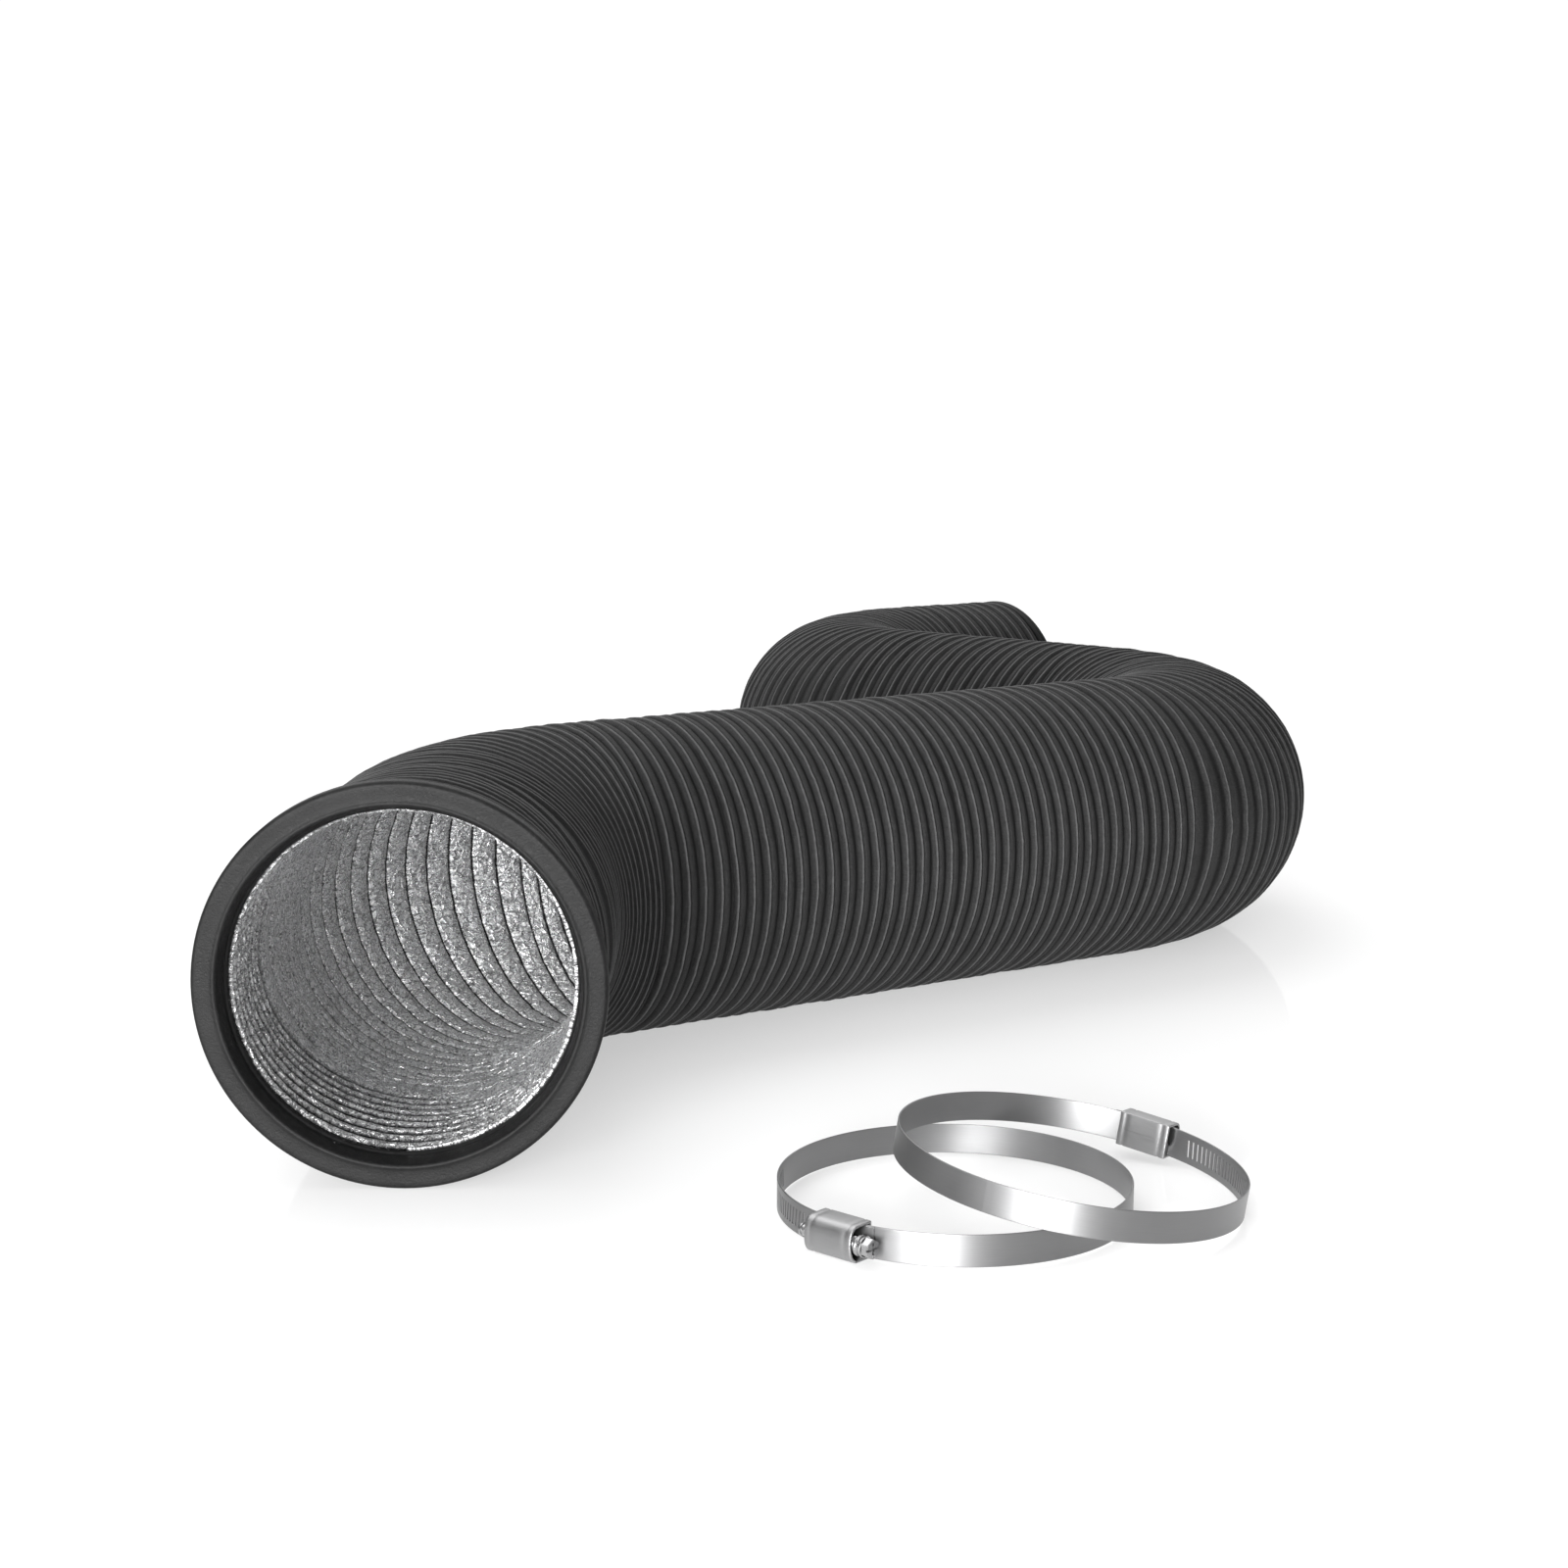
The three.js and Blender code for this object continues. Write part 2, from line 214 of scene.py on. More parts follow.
def flat(grid):
    """Rows of a grid that is given by turn, row and column, one turn's rows after the other's."""
    return grid.reshape(-1, grid.shape[-1])


def ribbed_grid(first, last, ridge, gap):
    """Turn, angle, distance, rib pitch, depth and "in the gap" of every vertex, and the rows to a turn.

    The grid goes from turn first to turn last, and ends with the first row of the next turn."""
    rows = len(ridge) + len(gap)
    turns = np.arange(first, last + 1)
    around = np.linspace(0, 2 * math.pi, COLUMNS + 1)
    turn = turns[:, None, None] + around[None, None, :] / (2 * math.pi)
    around = np.broadcast_to(around[None, None, :], turn.shape)
    here, following, after = (rib_place(turn + ahead, around) for ahead in (0, 1, 2))
    width = ridge[-1][0] - ridge[0][0]
    squeeze = rib_squeeze(here, following, around, width)
    squeeze_next = rib_squeeze(following, after, around, width)
    distance = [here + offset * squeeze for offset, _ in ridge]
    start = here + ridge[-1][0] * squeeze
    end = following + ridge[0][0] * squeeze_next
    distance += [start + (end - start) * share for share, _ in gap]
    distance = np.concatenate(distance, 1)
    pitch = np.broadcast_to((following - here) * bend_stretch(here, around), distance.shape)
    around = np.broadcast_to(around, distance.shape)
    turn = np.broadcast_to(turn, distance.shape)
    depth = np.array([d for _, d in ridge + gap])[None, :, None] * np.ones(distance.shape)
    is_gap = np.broadcast_to(np.arange(rows)[None, :, None] >= len(ridge), distance.shape)
    count = (last - first) * rows + 1
    grids = [flat(grid)[:count] for grid in (turn, around, distance, pitch, depth, is_gap)]
    return *grids, rows


def mesh_object(name, verts, faces, uv_sets=None, same=None, smooth=True):
    """A mesh of quads. same gives, for each vertex, the one that stands for it where a sheet meets itself."""
    faces = np.asarray(faces, np.int32)
    corners = faces.ravel()
    kept, corner_verts = np.unique(corners if same is None else same[corners], return_inverse=True)
    corner_verts = corner_verts.ravel()
    mesh = bpy.data.meshes.new(name)
    mesh.vertices.add(len(kept))
    mesh.vertices.foreach_set("co", np.asarray(verts, np.float32)[kept].ravel())
    mesh.loops.add(faces.size)
    mesh.loops.foreach_set("vertex_index", corner_verts.astype(np.int32))
    mesh.polygons.add(len(faces))
    mesh.polygons.foreach_set("loop_start", np.arange(0, faces.size, faces.shape[1], dtype=np.int32))
    mesh.polygons.foreach_set("use_smooth", np.full(len(faces), smooth))
    for uv_name, values in (uv_sets or {}).items():
        layer = mesh.uv_layers.new(name=uv_name)
        layer.data.foreach_set("uv", np.asarray(values, np.float32)[corners].ravel())
    mesh.update(calc_edges=True)
    mesh.validate()
    obj = bpy.data.objects.new(name, mesh)
    bpy.context.scene.collection.objects.link(obj)
    return obj


def helical_sheet(name, turn, around, distance, radius, rows, hidden_offset):
    """A strip-wound sheet, closed at its rims. Its hidden face lies hidden_offset beyond the one that shows.

    UV map cloth is in metres. UV map turns holds the share of a whole turn around, and the turns so far."""
    count, width = distance.shape
    shown = section_point(distance, around, radius).reshape(-1, 3)
    hidden = section_point(distance, around, radius + hidden_offset).reshape(-1, 3)
    phase = np.broadcast_to(turn[0, 0] + np.arange(count)[:, None] / rows, distance.shape)
    cloth = np.stack([around * DUCT_RADIUS, distance], -1).reshape(-1, 2)
    wound = np.stack([around / (2 * math.pi), phase], -1).reshape(-1, 2)
    index = np.arange(count * width).reshape(count, width)
    same = np.arange(2 * count * width)
    for layer in (0, count * width):
        same[index[:-rows, -1] + layer] = index[rows:, 0] + layer
    quads = np.stack([index[:-1, :-1], index[:-1, 1:], index[1:, 1:], index[1:, :-1]], -1).reshape(-1, 4)
    back = quads[:, ::-1] + count * width
    rims = []
    first_seam, last_seam = index[:rows + 1, 0][::-1], index[-rows - 1:, -1]
    for line in (index[0, :], index[-1, ::-1], first_seam, last_seam):
        a, b = line[:-1], line[1:]
        rims.append(np.stack([b, a, a + count * width, b + count * width], -1))
    faces = np.concatenate([quads, back] + rims)
    if hidden_offset > 0:
        faces = faces[:, ::-1]
    uv_sets = {"cloth": np.tile(cloth, (2, 1)), "turns": np.tile(wound, (2, 1))}
    return mesh_object(name, np.concatenate([shown, hidden]), faces, uv_sets, same)


# ---------------------------------------------------------------- node helpers

def new_material(name):
    material = bpy.data.materials.new(name)
    material.use_nodes = True
    tree = material.node_tree
    tree.nodes.clear()
    output = tree.nodes.new("ShaderNodeOutputMaterial")
    shader = tree.nodes.new("ShaderNodeBsdfPrincipled")
    tree.links.new(shader.outputs[0], output.inputs["Surface"])
    return material, tree, shader


def plug(tree, socket, value):
    if isinstance(value, bpy.types.NodeSocket):
        tree.links.new(value, socket)
    else:
        socket.default_value = value


def node(tree, kind, inputs=None, output=0, **settings):
    made = tree.nodes.new("ShaderNode" + kind)
    for key, value in settings.items():
        setattr(made, key, value)
    for key, value in (inputs or {}).items():
        plug(tree, made.inputs[key], value)
    return made.outputs[output]


def maths(tree, operation, a, b=0.0, c=0.0, clamp=False):
    return node(tree, "Math", {0: a, 1: b, 2: c}, operation=operation, use_clamp=clamp)


def ramp(tree, value, low, high, to_low=0.0, to_high=1.0):
    limits = {"From Min": low, "From Max": high, "To Min": to_low, "To Max": to_high}
    return node(tree, "MapRange", {"Value": value, **limits})


def mix(tree, factor, a, b):
    made = tree.nodes.new("ShaderNodeMix")
    made.data_type = "RGBA"
    plug(tree, made.inputs[0], factor)
    plug(tree, made.inputs[6], a)
    plug(tree, made.inputs[7], b)
    return made.outputs[2]


def grey(value):
    """A grey that is very slightly cool."""
    return (value, value, value * 1.01, 1)


def bump(tree, shader, height, strength, distance):
    normal = node(tree, "Bump", {"Height": height, "Strength": strength, "Distance": distance})
    tree.links.new(normal, shader.inputs["Normal"])


def uv_vector(tree, uv_name, scale):
    """The named UV map, stretched: its units are metres on cloth."""
    uv = node(tree, "UVMap", uv_map=uv_name)
    return node(tree, "VectorMath", {0: uv, 1: scale}, operation="MULTIPLY")


def noise(tree, vector, scale, detail=4.0, roughness=0.55, distortion=0.0):
    grain = {"Scale": scale, "Detail": detail, "Roughness": roughness, "Distortion": distortion}
    return node(tree, "TexNoise", {"Vector": vector, **grain})


def voronoi(tree, vector, scale, feature):
    return node(tree, "TexVoronoi", {"Vector": vector, "Scale": scale, "Randomness": 1.0}, feature=feature)


def object_place(tree):
    return node(tree, "TexCoord", output=3)


def colour_from(tree, shader, colour):
    tree.links.new(colour, shader.inputs["Base Color"])


def roughness_from(tree, shader, roughness):
    tree.links.new(roughness, shader.inputs["Roughness"])


def times(tree, a, b):
    return maths(tree, "MULTIPLY", a, b)


def plus(tree, first, *others):
    total = first
    for other in others:
        total = maths(tree, "ADD", total, other)
    return total


def row_mask(tree, rows, row, near, far):
    """1 beside one row of a rib's section and 0 further off; near and far are counted in rows."""
    uv = node(tree, "UVMap", uv_map="turns")
    turns = node(tree, "SeparateXYZ", {0: uv}, 1)
    share = maths(tree, "FRACT", maths(tree, "SUBTRACT", turns, row / rows - 0.5))
    away = maths(tree, "ABSOLUTE", maths(tree, "SUBTRACT", share, 0.5))
    return ramp(tree, away, far / rows, near / rows)


# ---------------------------------------------------------------- materials

def jacket_material():
    """Black laminated cloth with fine crosswise creases. A painted highlight lightens the ribs' crests, and
    painted shade darkens the groove beside each crest and the valleys between the ribs.
    """
    material, tree, shader = new_material("jacket_cloth")
    creases = noise(tree, uv_vector(tree, "cloth", (260, 900, 1)), 1.0, 5, 0.62, 0.6)
    lengthwise = noise(tree, uv_vector(tree, "cloth", (1500, 240, 1)), 1.0, 3, 0.6, 0.3)
    patches = noise(tree, uv_vector(tree, "cloth", (34, 34, 1)), 1.0, 3, 0.5)
    # Rows of the rib's section: its crest is near row 3, its groove at row 6 and the valley near row 12.
    rows = len(RIDGE) + len(VALLEY)
    crest = row_mask(tree, rows, 2.8, 0.3, 1.5)
    groove = row_mask(tree, rows, 6, 0.4, 1.3)
    valley = row_mask(tree, rows, 12, 0.8, 2.4)
    base = mix(tree, ramp(tree, patches, 0.3, 0.7), grey(0.011), grey(0.017))
    speckled = mix(tree, ramp(tree, creases, 0.42, 0.75, 0, 0.6), base, grey(0.030))
    # Painted shade: the thin groove beside each crest is darkened to near black.
    groove_shaded = mix(tree, times(tree, groove, 0.75), speckled, grey(0.004))
    # Painted shade: the valley between the ribs is darkened to near black.
    valley_shaded = mix(tree, times(tree, valley, 0.8), groove_shaded, grey(0.004))
    # Painted highlight: the crests are lightened, more strongly where the crease noise is high.
    crest_highlight_strength = ramp(tree, creases, 0.2, 0.8, 0.35, 0.95)
    crest_highlighted = mix(tree, times(tree, crest, crest_highlight_strength), valley_shaded, grey(0.125))
    colour_from(tree, shader, crest_highlighted)
    dull = ramp(tree, creases, 0.3, 0.7, 0.50, 0.66)
    roughness_from(tree, shader, maths(tree, "ADD", dull, times(tree, valley, 0.2), clamp=True))
    shader.inputs["Specular IOR Level"].default_value = 0.2
    bump(tree, shader, plus(tree, creases, times(tree, lengthwise, 0.8)), 1.0, 0.0006)
    return material


def foil_material():
    """Crinkled aluminium foil. Painted shade darkens the fold along each turn of wire, wider in the gathers of
    the cuff, and the creases between the crinkles' facets.
    """
    material, tree, shader = new_material("foil_lining")
    vector = uv_vector(tree, "cloth", (1, 1, 1))
    fine = noise(tree, vector, 520.0, 4, 0.62, 1.8)
    coarse = noise(tree, vector, 150.0, 3, 0.6, 0.8)
    facets = voronoi(tree, vector, 330.0, "F1")
    creases = voronoi(tree, vector, 230.0, "DISTANCE_TO_EDGE")
    base = mix(tree, ramp(tree, fine, 0.38, 0.56), grey(0.55), grey(1.0))
    # Painted shade: dark lines along the edges of the crinkles' facets, where the foil creases.
    crease_shaded = mix(tree, ramp(tree, creases, 0.0, 0.07, 0.6, 0.0), base, grey(0.16))
    # Row 2 of the lining's section is the bottom of its fold.
    rows = len(FOLD) + len(PANEL)
    thin_fold = row_mask(tree, rows, 2, 0.8, 1.5)
    deep_fold = row_mask(tree, rows, 2, 2.0, 2.9)
    turns = node(tree, "SeparateXYZ", {0: node(tree, "UVMap", uv_map="turns")}, 1)
    gathered = ramp(tree, turns, CUFF_RIBS + 0.5, CUFF_RIBS - 0.5)
    fold = maths(tree, "MAXIMUM", thin_fold, times(tree, deep_fold, gathered))
    # Painted shade: the fold along each turn of wire is darkened nearly to black, more widely in the cuff's
    # gathers.
    colour_from(tree, shader, mix(tree, fold, crease_shaded, grey(0.012)))
    shader.inputs["Metallic"].default_value = 0.82
    roughness_from(tree, shader, ramp(tree, fine, 0.3, 0.7, 0.18, 0.40))
    ridges = times(tree, ramp(tree, creases, 0.0, 0.12), 0.5)
    height = plus(tree, facets, times(tree, fine, 0.9), ridges, times(tree, coarse, 0.8))
    bump(tree, shader, height, 1.0, 0.0011)
    return material


def collar_material():
    """Satin soft plastic with a fine brushed grain."""
    material, tree, shader = new_material("collar_plastic")
    place = object_place(tree)
    brushed = noise(tree, place, 420.0, 5, 0.65, 1.2)
    grain = noise(tree, place, 900.0, 5, 0.6, 0.4)
    broad = noise(tree, place, 60.0, 3, 0.5)
    base = mix(tree, ramp(tree, broad, 0.3, 0.7), grey(0.0045), grey(0.008))
    colour_from(tree, shader, mix(tree, ramp(tree, brushed, 0.45, 0.8, 0, 0.5), base, grey(0.018)))
    roughness_from(tree, shader, ramp(tree, brushed, 0.3, 0.7, 0.42, 0.60))
    shader.inputs["Specular IOR Level"].default_value = 0.15
    bump(tree, shader, plus(tree, grain, brushed, times(tree, broad, 1.5)), 0.45, 0.0004)
    return material


def turned_steel_material(name, light, scale, low, high, strength, depth):
    """Bare steel with fine marks: light is its brighter grey, low and high its roughness."""
    material, tree, shader = new_material(name)
    marks = noise(tree, object_place(tree), scale, 4, 0.6)
    colour_from(tree, shader, mix(tree, marks, grey(0.30), grey(light)))
    shader.inputs["Metallic"].default_value = 1.0
    roughness_from(tree, shader, ramp(tree, marks, 0.3, 0.7, low, high))
    bump(tree, shader, marks, strength, depth)
    return material


def steel_material(name, base, across, along, low, high):
    """Stainless strip, brushed along its length: marks per metre across and along, roughness low to high."""
    material, tree, shader = new_material(name)
    brushed = noise(tree, uv_vector(tree, "cloth", (along, across, 1)), 1.0, 5, 0.6)
    stains = noise(tree, uv_vector(tree, "cloth", (60, 60, 1)), 1.0, 3, 0.5)
    colour = mix(tree, ramp(tree, brushed, 0.3, 0.7), grey(base * 0.9), grey(base))
    stained = mix(tree, ramp(tree, stains, 0.45, 0.8, 0, 0.25), colour, grey(base * 0.8))
    colour_from(tree, shader, stained)
    shader.inputs["Metallic"].default_value = 1.0
    roughness_from(tree, shader, ramp(tree, brushed, 0.3, 0.7, low, high))
    shader.inputs["Anisotropic"].default_value = 0.75
    shader.inputs["Anisotropic Rotation"].default_value = 0.25
    tangent = node(tree, "Tangent", direction_type="UV_MAP", uv_map="cloth")
    tree.links.new(tangent, shader.inputs["Tangent"])
    bump(tree, shader, brushed, 0.12, 0.00006)
    return material


def floor_material():
    """A white light table with a faint gloss."""
    material, tree, shader = new_material("white_floor")
    output = tree.nodes["Material Output"]
    tree.nodes.remove(shader)
    lit = node(tree, "BsdfDiffuse", {"Color": (0.46, 0.46, 0.46, 1)})
    glow = node(tree, "Emission", {"Color": (1, 1, 1, 1), "Strength": 0.56})
    diffuse = node(tree, "AddShader", {0: lit, 1: glow})
    gloss = node(tree, "BsdfGlossy", {"Color": (1, 1, 1, 1), "Roughness": 0.06})
    tree.links.new(node(tree, "MixShader", {0: 0.08, 1: diffuse, 2: gloss}), output.inputs["Surface"])
    return material


JACKET = jacket_material()
FOIL = foil_material()
COLLAR = collar_material()
WIRE = turned_steel_material("spring_wire", 0.48, 1400.0, 0.3, 0.5, 0.2, 0.0001)
BAND = steel_material("band_steel", 0.30, 2600, 70, 0.42, 0.52)
HOUSING = steel_material("housing_steel", 0.36, 1500, 120, 0.34, 0.46)
SCREW = turned_steel_material("screw_steel", 0.46, 1600.0, 0.22, 0.4, 0.15, 0.00008)
FLOOR = floor_material()


def finish_piece(obj, material, slot, *nodes):
    """Gives a piece its material, and hides the CAD nodes that it stands for. The slot is not used."""
    obj.data.materials.append(material)
    if nodes:
        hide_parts(*nodes)
    return obj


# ---------------------------------------------------------------- camera, floor and light

LENS, SENSOR = 55.9, 36      # millimetres
EYE_RIGHT = 0.1654           # from the mouth's middle, in metres
EYE_BACK = 1.0188            # from the mouth's face
EYE_HEIGHT = 0.3425
PITCH = 9.124                # degrees downwards


def make_camera():
    """The photo's own view."""
    data = bpy.data.cameras.new("camera")
    data.lens = LENS
    data.sensor_width = SENSOR
    data.dof.use_dof = False
    camera = bpy.data.objects.new("camera", data)
    bpy.context.scene.collection.objects.link(camera)
    camera.location = (MOUTH[0] + EYE_RIGHT, MOUTH[1] - EYE_BACK, EYE_HEIGHT)
    camera.rotation_euler = (math.radians(90 - PITCH), 0, 0)
    bpy.context.scene.camera = camera


def make_floor():
    half, below = 40.0, 0.0002
    verts = [(-half, -half, 0), (half, -half, 0), (half, half, 0), (-half, half, 0)]
    floor = mesh_object("floor", verts, [(0, 1, 2, 3)], smooth=False)
    floor.location.z = -below
    floor.data.materials.append(FLOOR)


def area_light(name, place, target, size, power):
    data = bpy.data.lights.new(name, "AREA")
    data.shape = "RECTANGLE"
    data.size, data.size_y = size
    data.energy = power
    light = bpy.data.objects.new(name, data)
    light.location = place
    light.rotation_euler = (Vector(target) - Vector(place)).to_track_quat("-Z", "Y").to_euler()
    bpy.context.scene.collection.objects.link(light)


def make_world():
    """A studio: bright above and behind the object, and one broad lit screen at the front left."""
    world = bpy.data.worlds.new("studio")
    bpy.context.scene.world = world
    world.use_nodes = True
    tree = world.node_tree
    direction = node(tree, "TexCoord")
    parts = tree.nodes.new("ShaderNodeSeparateXYZ")
    tree.links.new(direction, parts.inputs[0])
    _, y, z = parts.outputs
    screen = Vector((-0.42, -0.90, 0.0)).normalized()
    towards_screen = node(tree, "VectorMath", {0: direction, 1: screen}, 1, operation="DOT_PRODUCT")
    above = ramp(tree, z, 0.30, 0.85, 0.0, 0.40)
    behind = ramp(tree, y, 0.10, 0.75, 0.0, 0.90)
    lit = ramp(tree, towards_screen, 0.62, 0.93, 0.0, 2.2)
    total = maths(tree, "ADD", maths(tree, "ADD", above, behind), maths(tree, "ADD", lit, 0.16))
    background = tree.nodes["Background"]
    background.inputs[0].default_value = (1, 1, 1, 1)
    tree.links.new(total, background.inputs[1])


def make_light():
    make_world()
    sun_data = bpy.data.lights.new("sun", "SUN")
    sun_data.energy = 1.1
    sun_data.angle = math.radians(50)
    sun = bpy.data.objects.new("sun", sun_data)
    sun.rotation_euler = (math.radians(-18), math.radians(-22), 0)
    bpy.context.scene.collection.objects.link(sun)
    area_light("left_of_mouth", (-0.75, -2.1, 0.35), (-0.2, -0.3, 0.10), (0.6, 0.5), 32)
    area_light("before_mouth", (-0.26, -1.95, 0.24), (-0.2, -0.3, 0.10), (0.4, 0.3), 24)
    bpy.context.scene.view_settings.view_transform = "Standard"


# ---------------------------------------------------------------- the duct's layers

# Where the layers are cut, by distance and by turn of the helix.
CUTS = [0.113, 0.325, 0.470, 0.612, 0.887, 1.022]
PIECES = len(CUTS) + 1
CUT_TURNS = [-1] + [round((s - CUFF_END) / EVEN_PITCH) + CUFF_RIBS + 1 for s in CUTS] + [LAST_TURN]


def follow_duct(obj):
    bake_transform(obj)


def nodes_of(prefix, k):
    """The CAD nodes that piece k stands for: the last piece also takes the last stretch."""
    stretches = [k + 1, k + 2] if k == PIECES - 1 else [k + 1]
    return [n for n in frame["nodes"] if any(n.startswith(f"{prefix}_{i}") for i in stretches)]


def make_jacket(name, first, last, nodes):
    """The black cloth outside, from turn first to turn last."""
    turn, around, distance, pitch, depth, is_gap, rows = ribbed_grid(first, last, RIDGE, VALLEY)
    crest = ripple(11, turn, around, 14, (1, 9), (0.6, 2.9))
    uneven = ripple(12, turn, around, 22, (3, 34), (0.9, 3.1))
    # Cloth folds deeper between crowded ribs, and lies flatter where it is stretched.
    fold = np.clip(RIB_PITCH / np.maximum(pitch, 0.002), 0.35, 1.25)
    depth = np.where(is_gap, depth * (0.55 + 0.45 * fold) * (1 + 0.16 * uneven), depth)
    radius = DUCT_RADIUS - 0.00025 - depth + 0.00022 * crest - 0.00012 * np.abs(uneven)
    radius = np.minimum(radius, DUCT_RADIUS)
    # The rib where the cuff ends stays even, so that the two pieces meet.
    away_from_join = np.abs(turn - CUFF_RIBS) > 1
    distance = distance + np.where(is_gap, 0.00025, 0.00018) * uneven * away_from_join
    obj = helical_sheet(name, turn, around, distance, radius, rows, -CLOTH)
    follow_duct(obj)
    return finish_piece(obj, JACKET, "jacket", *nodes)


def make_liner(name, first, last, nodes):
    """The crinkled foil inside, with a fold along each turn of wire."""
    turn, around, distance, _, depth, is_gap, rows = ribbed_grid(first, last, FOLD, PANEL)
    crinkle = ripple(21, turn, around, 26, (5, 50), (0.7, 3.0))
    buckle = ripple(22, turn + distance * 60, around, 18, (8, 55), (-2.5, 2.5))
    # Behind the collar the foil is gathered into deep rings.
    gathered = 1 - smoothstep((turn - CUFF_RIBS) / 2)
    depth = depth * np.where(is_gap, 1 + 2.0 * gathered, 1 + 1.0 * gathered)
    uneven = (0.00025 * crinkle + 0.00028 * buckle) * (1 - 0.6 * gathered)
    radius = LINER_RADIUS - 0.0004 + depth + uneven
    distance = distance + 0.0002 * buckle
    obj = helical_sheet(name, turn, around, distance, radius, rows, FOIL_SHEET)
    follow_duct(obj)
    return finish_piece(obj, FOIL, "liner", *nodes)


def make_wire(name, first, last, nodes):
    """The turns of spring wire under the jacket, as one bent rod. The lining's folds cut into it."""
    steps, sides = 40, 6
    first = max(first, 0)
    turn = np.linspace(first, last, (last - first) * steps + 1)
    around = (turn % 1.0) * 2 * math.pi
    place = rib_place(turn, around)
    rod = section_point(place, around, WIRE_RADIUS)
    out = section_point(place, around, WIRE_RADIUS + 1) - rod
    heading = route(place)[3]
    ahead = np.stack([np.sin(heading), np.cos(heading), 0 * heading], -1)
    angle = (np.arange(sides) * 2 * math.pi / sides)[None, :, None]
    offset = np.cos(angle) * out[:, None] + np.sin(angle) * ahead[:, None]
    ring = rod[:, None] + WIRE_THICKNESS / 2 * offset
    index = np.arange(len(turn) * sides).reshape(-1, sides)
    turned = np.roll(index, -1, 1)
    quads = np.stack([index[:-1], index[1:], turned[1:], turned[:-1]], -1).reshape(-1, 4)
    caps = [index[0, [0, 1, 2, 3]], index[0, [0, 3, 4, 5]], index[-1, [3, 2, 1, 0]], index[-1, [5, 4, 3, 0]]]
    obj = mesh_object(name, ring.reshape(-1, 3), np.concatenate([quads, caps]))
    follow_duct(obj)
    return finish_piece(obj, WIRE, "wire", *nodes)


def make_duct():
    for k in range(PIECES):
        first, last = CUT_TURNS[k], CUT_TURNS[k + 1]
        first_cloth = first
        if k == 0:
            make_jacket("pleated_cuff", first, CUFF_RIBS, ["pleated_cuff"])
            first_cloth = CUFF_RIBS
        make_jacket(f"jacket_cloth_{k + 1}", first_cloth, last, nodes_of("jacket", k))
        make_liner(f"foil_lining_{k + 1}", first, last, nodes_of("foil_liner", k))
        make_wire(f"spring_wire_{k + 1}", first, last, nodes_of("wire_helix", k))


# ---------------------------------------------------------------- mouth collar and tail ring

def turned_ring(name, profile, segments=160):
    """A closed ring turned about the duct. profile is (distance, radius) points, in order."""
    distance, radius = (np.array(v) for v in zip(*profile))
    around = np.arange(segments) * 2 * math.pi / segments
    s = np.broadcast_to(distance[:, None], (len(distance), segments))
    points = section_point(s, around[None, :], radius[:, None])
    index = np.arange(len(distance) * segments).reshape(len(distance), segments)
    below, beside = np.roll(index, -1, 0), np.roll(index, -1, 1)
    both = np.roll(below, -1, 1)
    quads = np.stack([index, beside, both, below], -1).reshape(-1, 4)
    steps = np.hypot(np.diff(distance, prepend=distance[0]), np.diff(radius, prepend=radius[0]))
    length = np.broadcast_to(np.cumsum(steps)[:, None], s.shape)
    girth = np.broadcast_to(around * 0.08, s.shape)
    uv = np.stack([girth, length], -1).reshape(-1, 2)
    return mesh_object(name, points.reshape(-1, 3), quads, {"cloth": uv})


def arc(centre, radius, start, end, steps):
    """Points of an arc about a (distance, radius) centre, in degrees from outwards towards the tail."""
    angles = np.radians(np.linspace(start, end, steps + 1))
    return [(centre[0] + radius * math.sin(a), centre[1] + radius * math.cos(a)) for a in angles]


def make_collar():
    """The mouth's flange: back, rim with a moulded line, front face, rounded lip and the cone to the foil."""
    outer = collar_high.z - MOUTH[2]
    profile = [(0.0127, 0.0764), (0.0127, 0.0862)]
    profile += arc((0.0115, outer - 0.0016), 0.0012, 90, 0, 5)
    profile += [(0.0103, outer - 0.0006), (0.0098, outer - 0.0010)]
    profile += [(0.0092, outer - 0.0010), (0.0086, outer - 0.0004)]
    profile += arc((0.0072, outer - 0.0006), 0.0006, 20, -5, 3)
    profile += [(0.0045, outer)]
    profile += arc((0.0020, outer - 0.0020), 0.0020, 0, -84, 8)
    profile += [(0.0001, outer - 0.0034), (0.0002, outer - 0.0056), (0.0003, outer - 0.0078)]
    profile += arc((0.0013, outer - 0.0096), 0.0014, -55, -165, 8)
    profile += [(0.0034, outer - 0.0114), (0.0062, outer - 0.0121), (0.0088, outer - 0.0126)]
    profile += [(0.0094, outer - 0.0125), (0.0098, outer - 0.0131), (0.0104, outer - 0.0136)]
    profile += [(0.0115, outer - 0.0138)]
    obj = turned_ring("collar_moulding", profile)
    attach(obj, "stretch_1")
    finish_piece(obj, COLLAR, "collar", "mouth_collar")


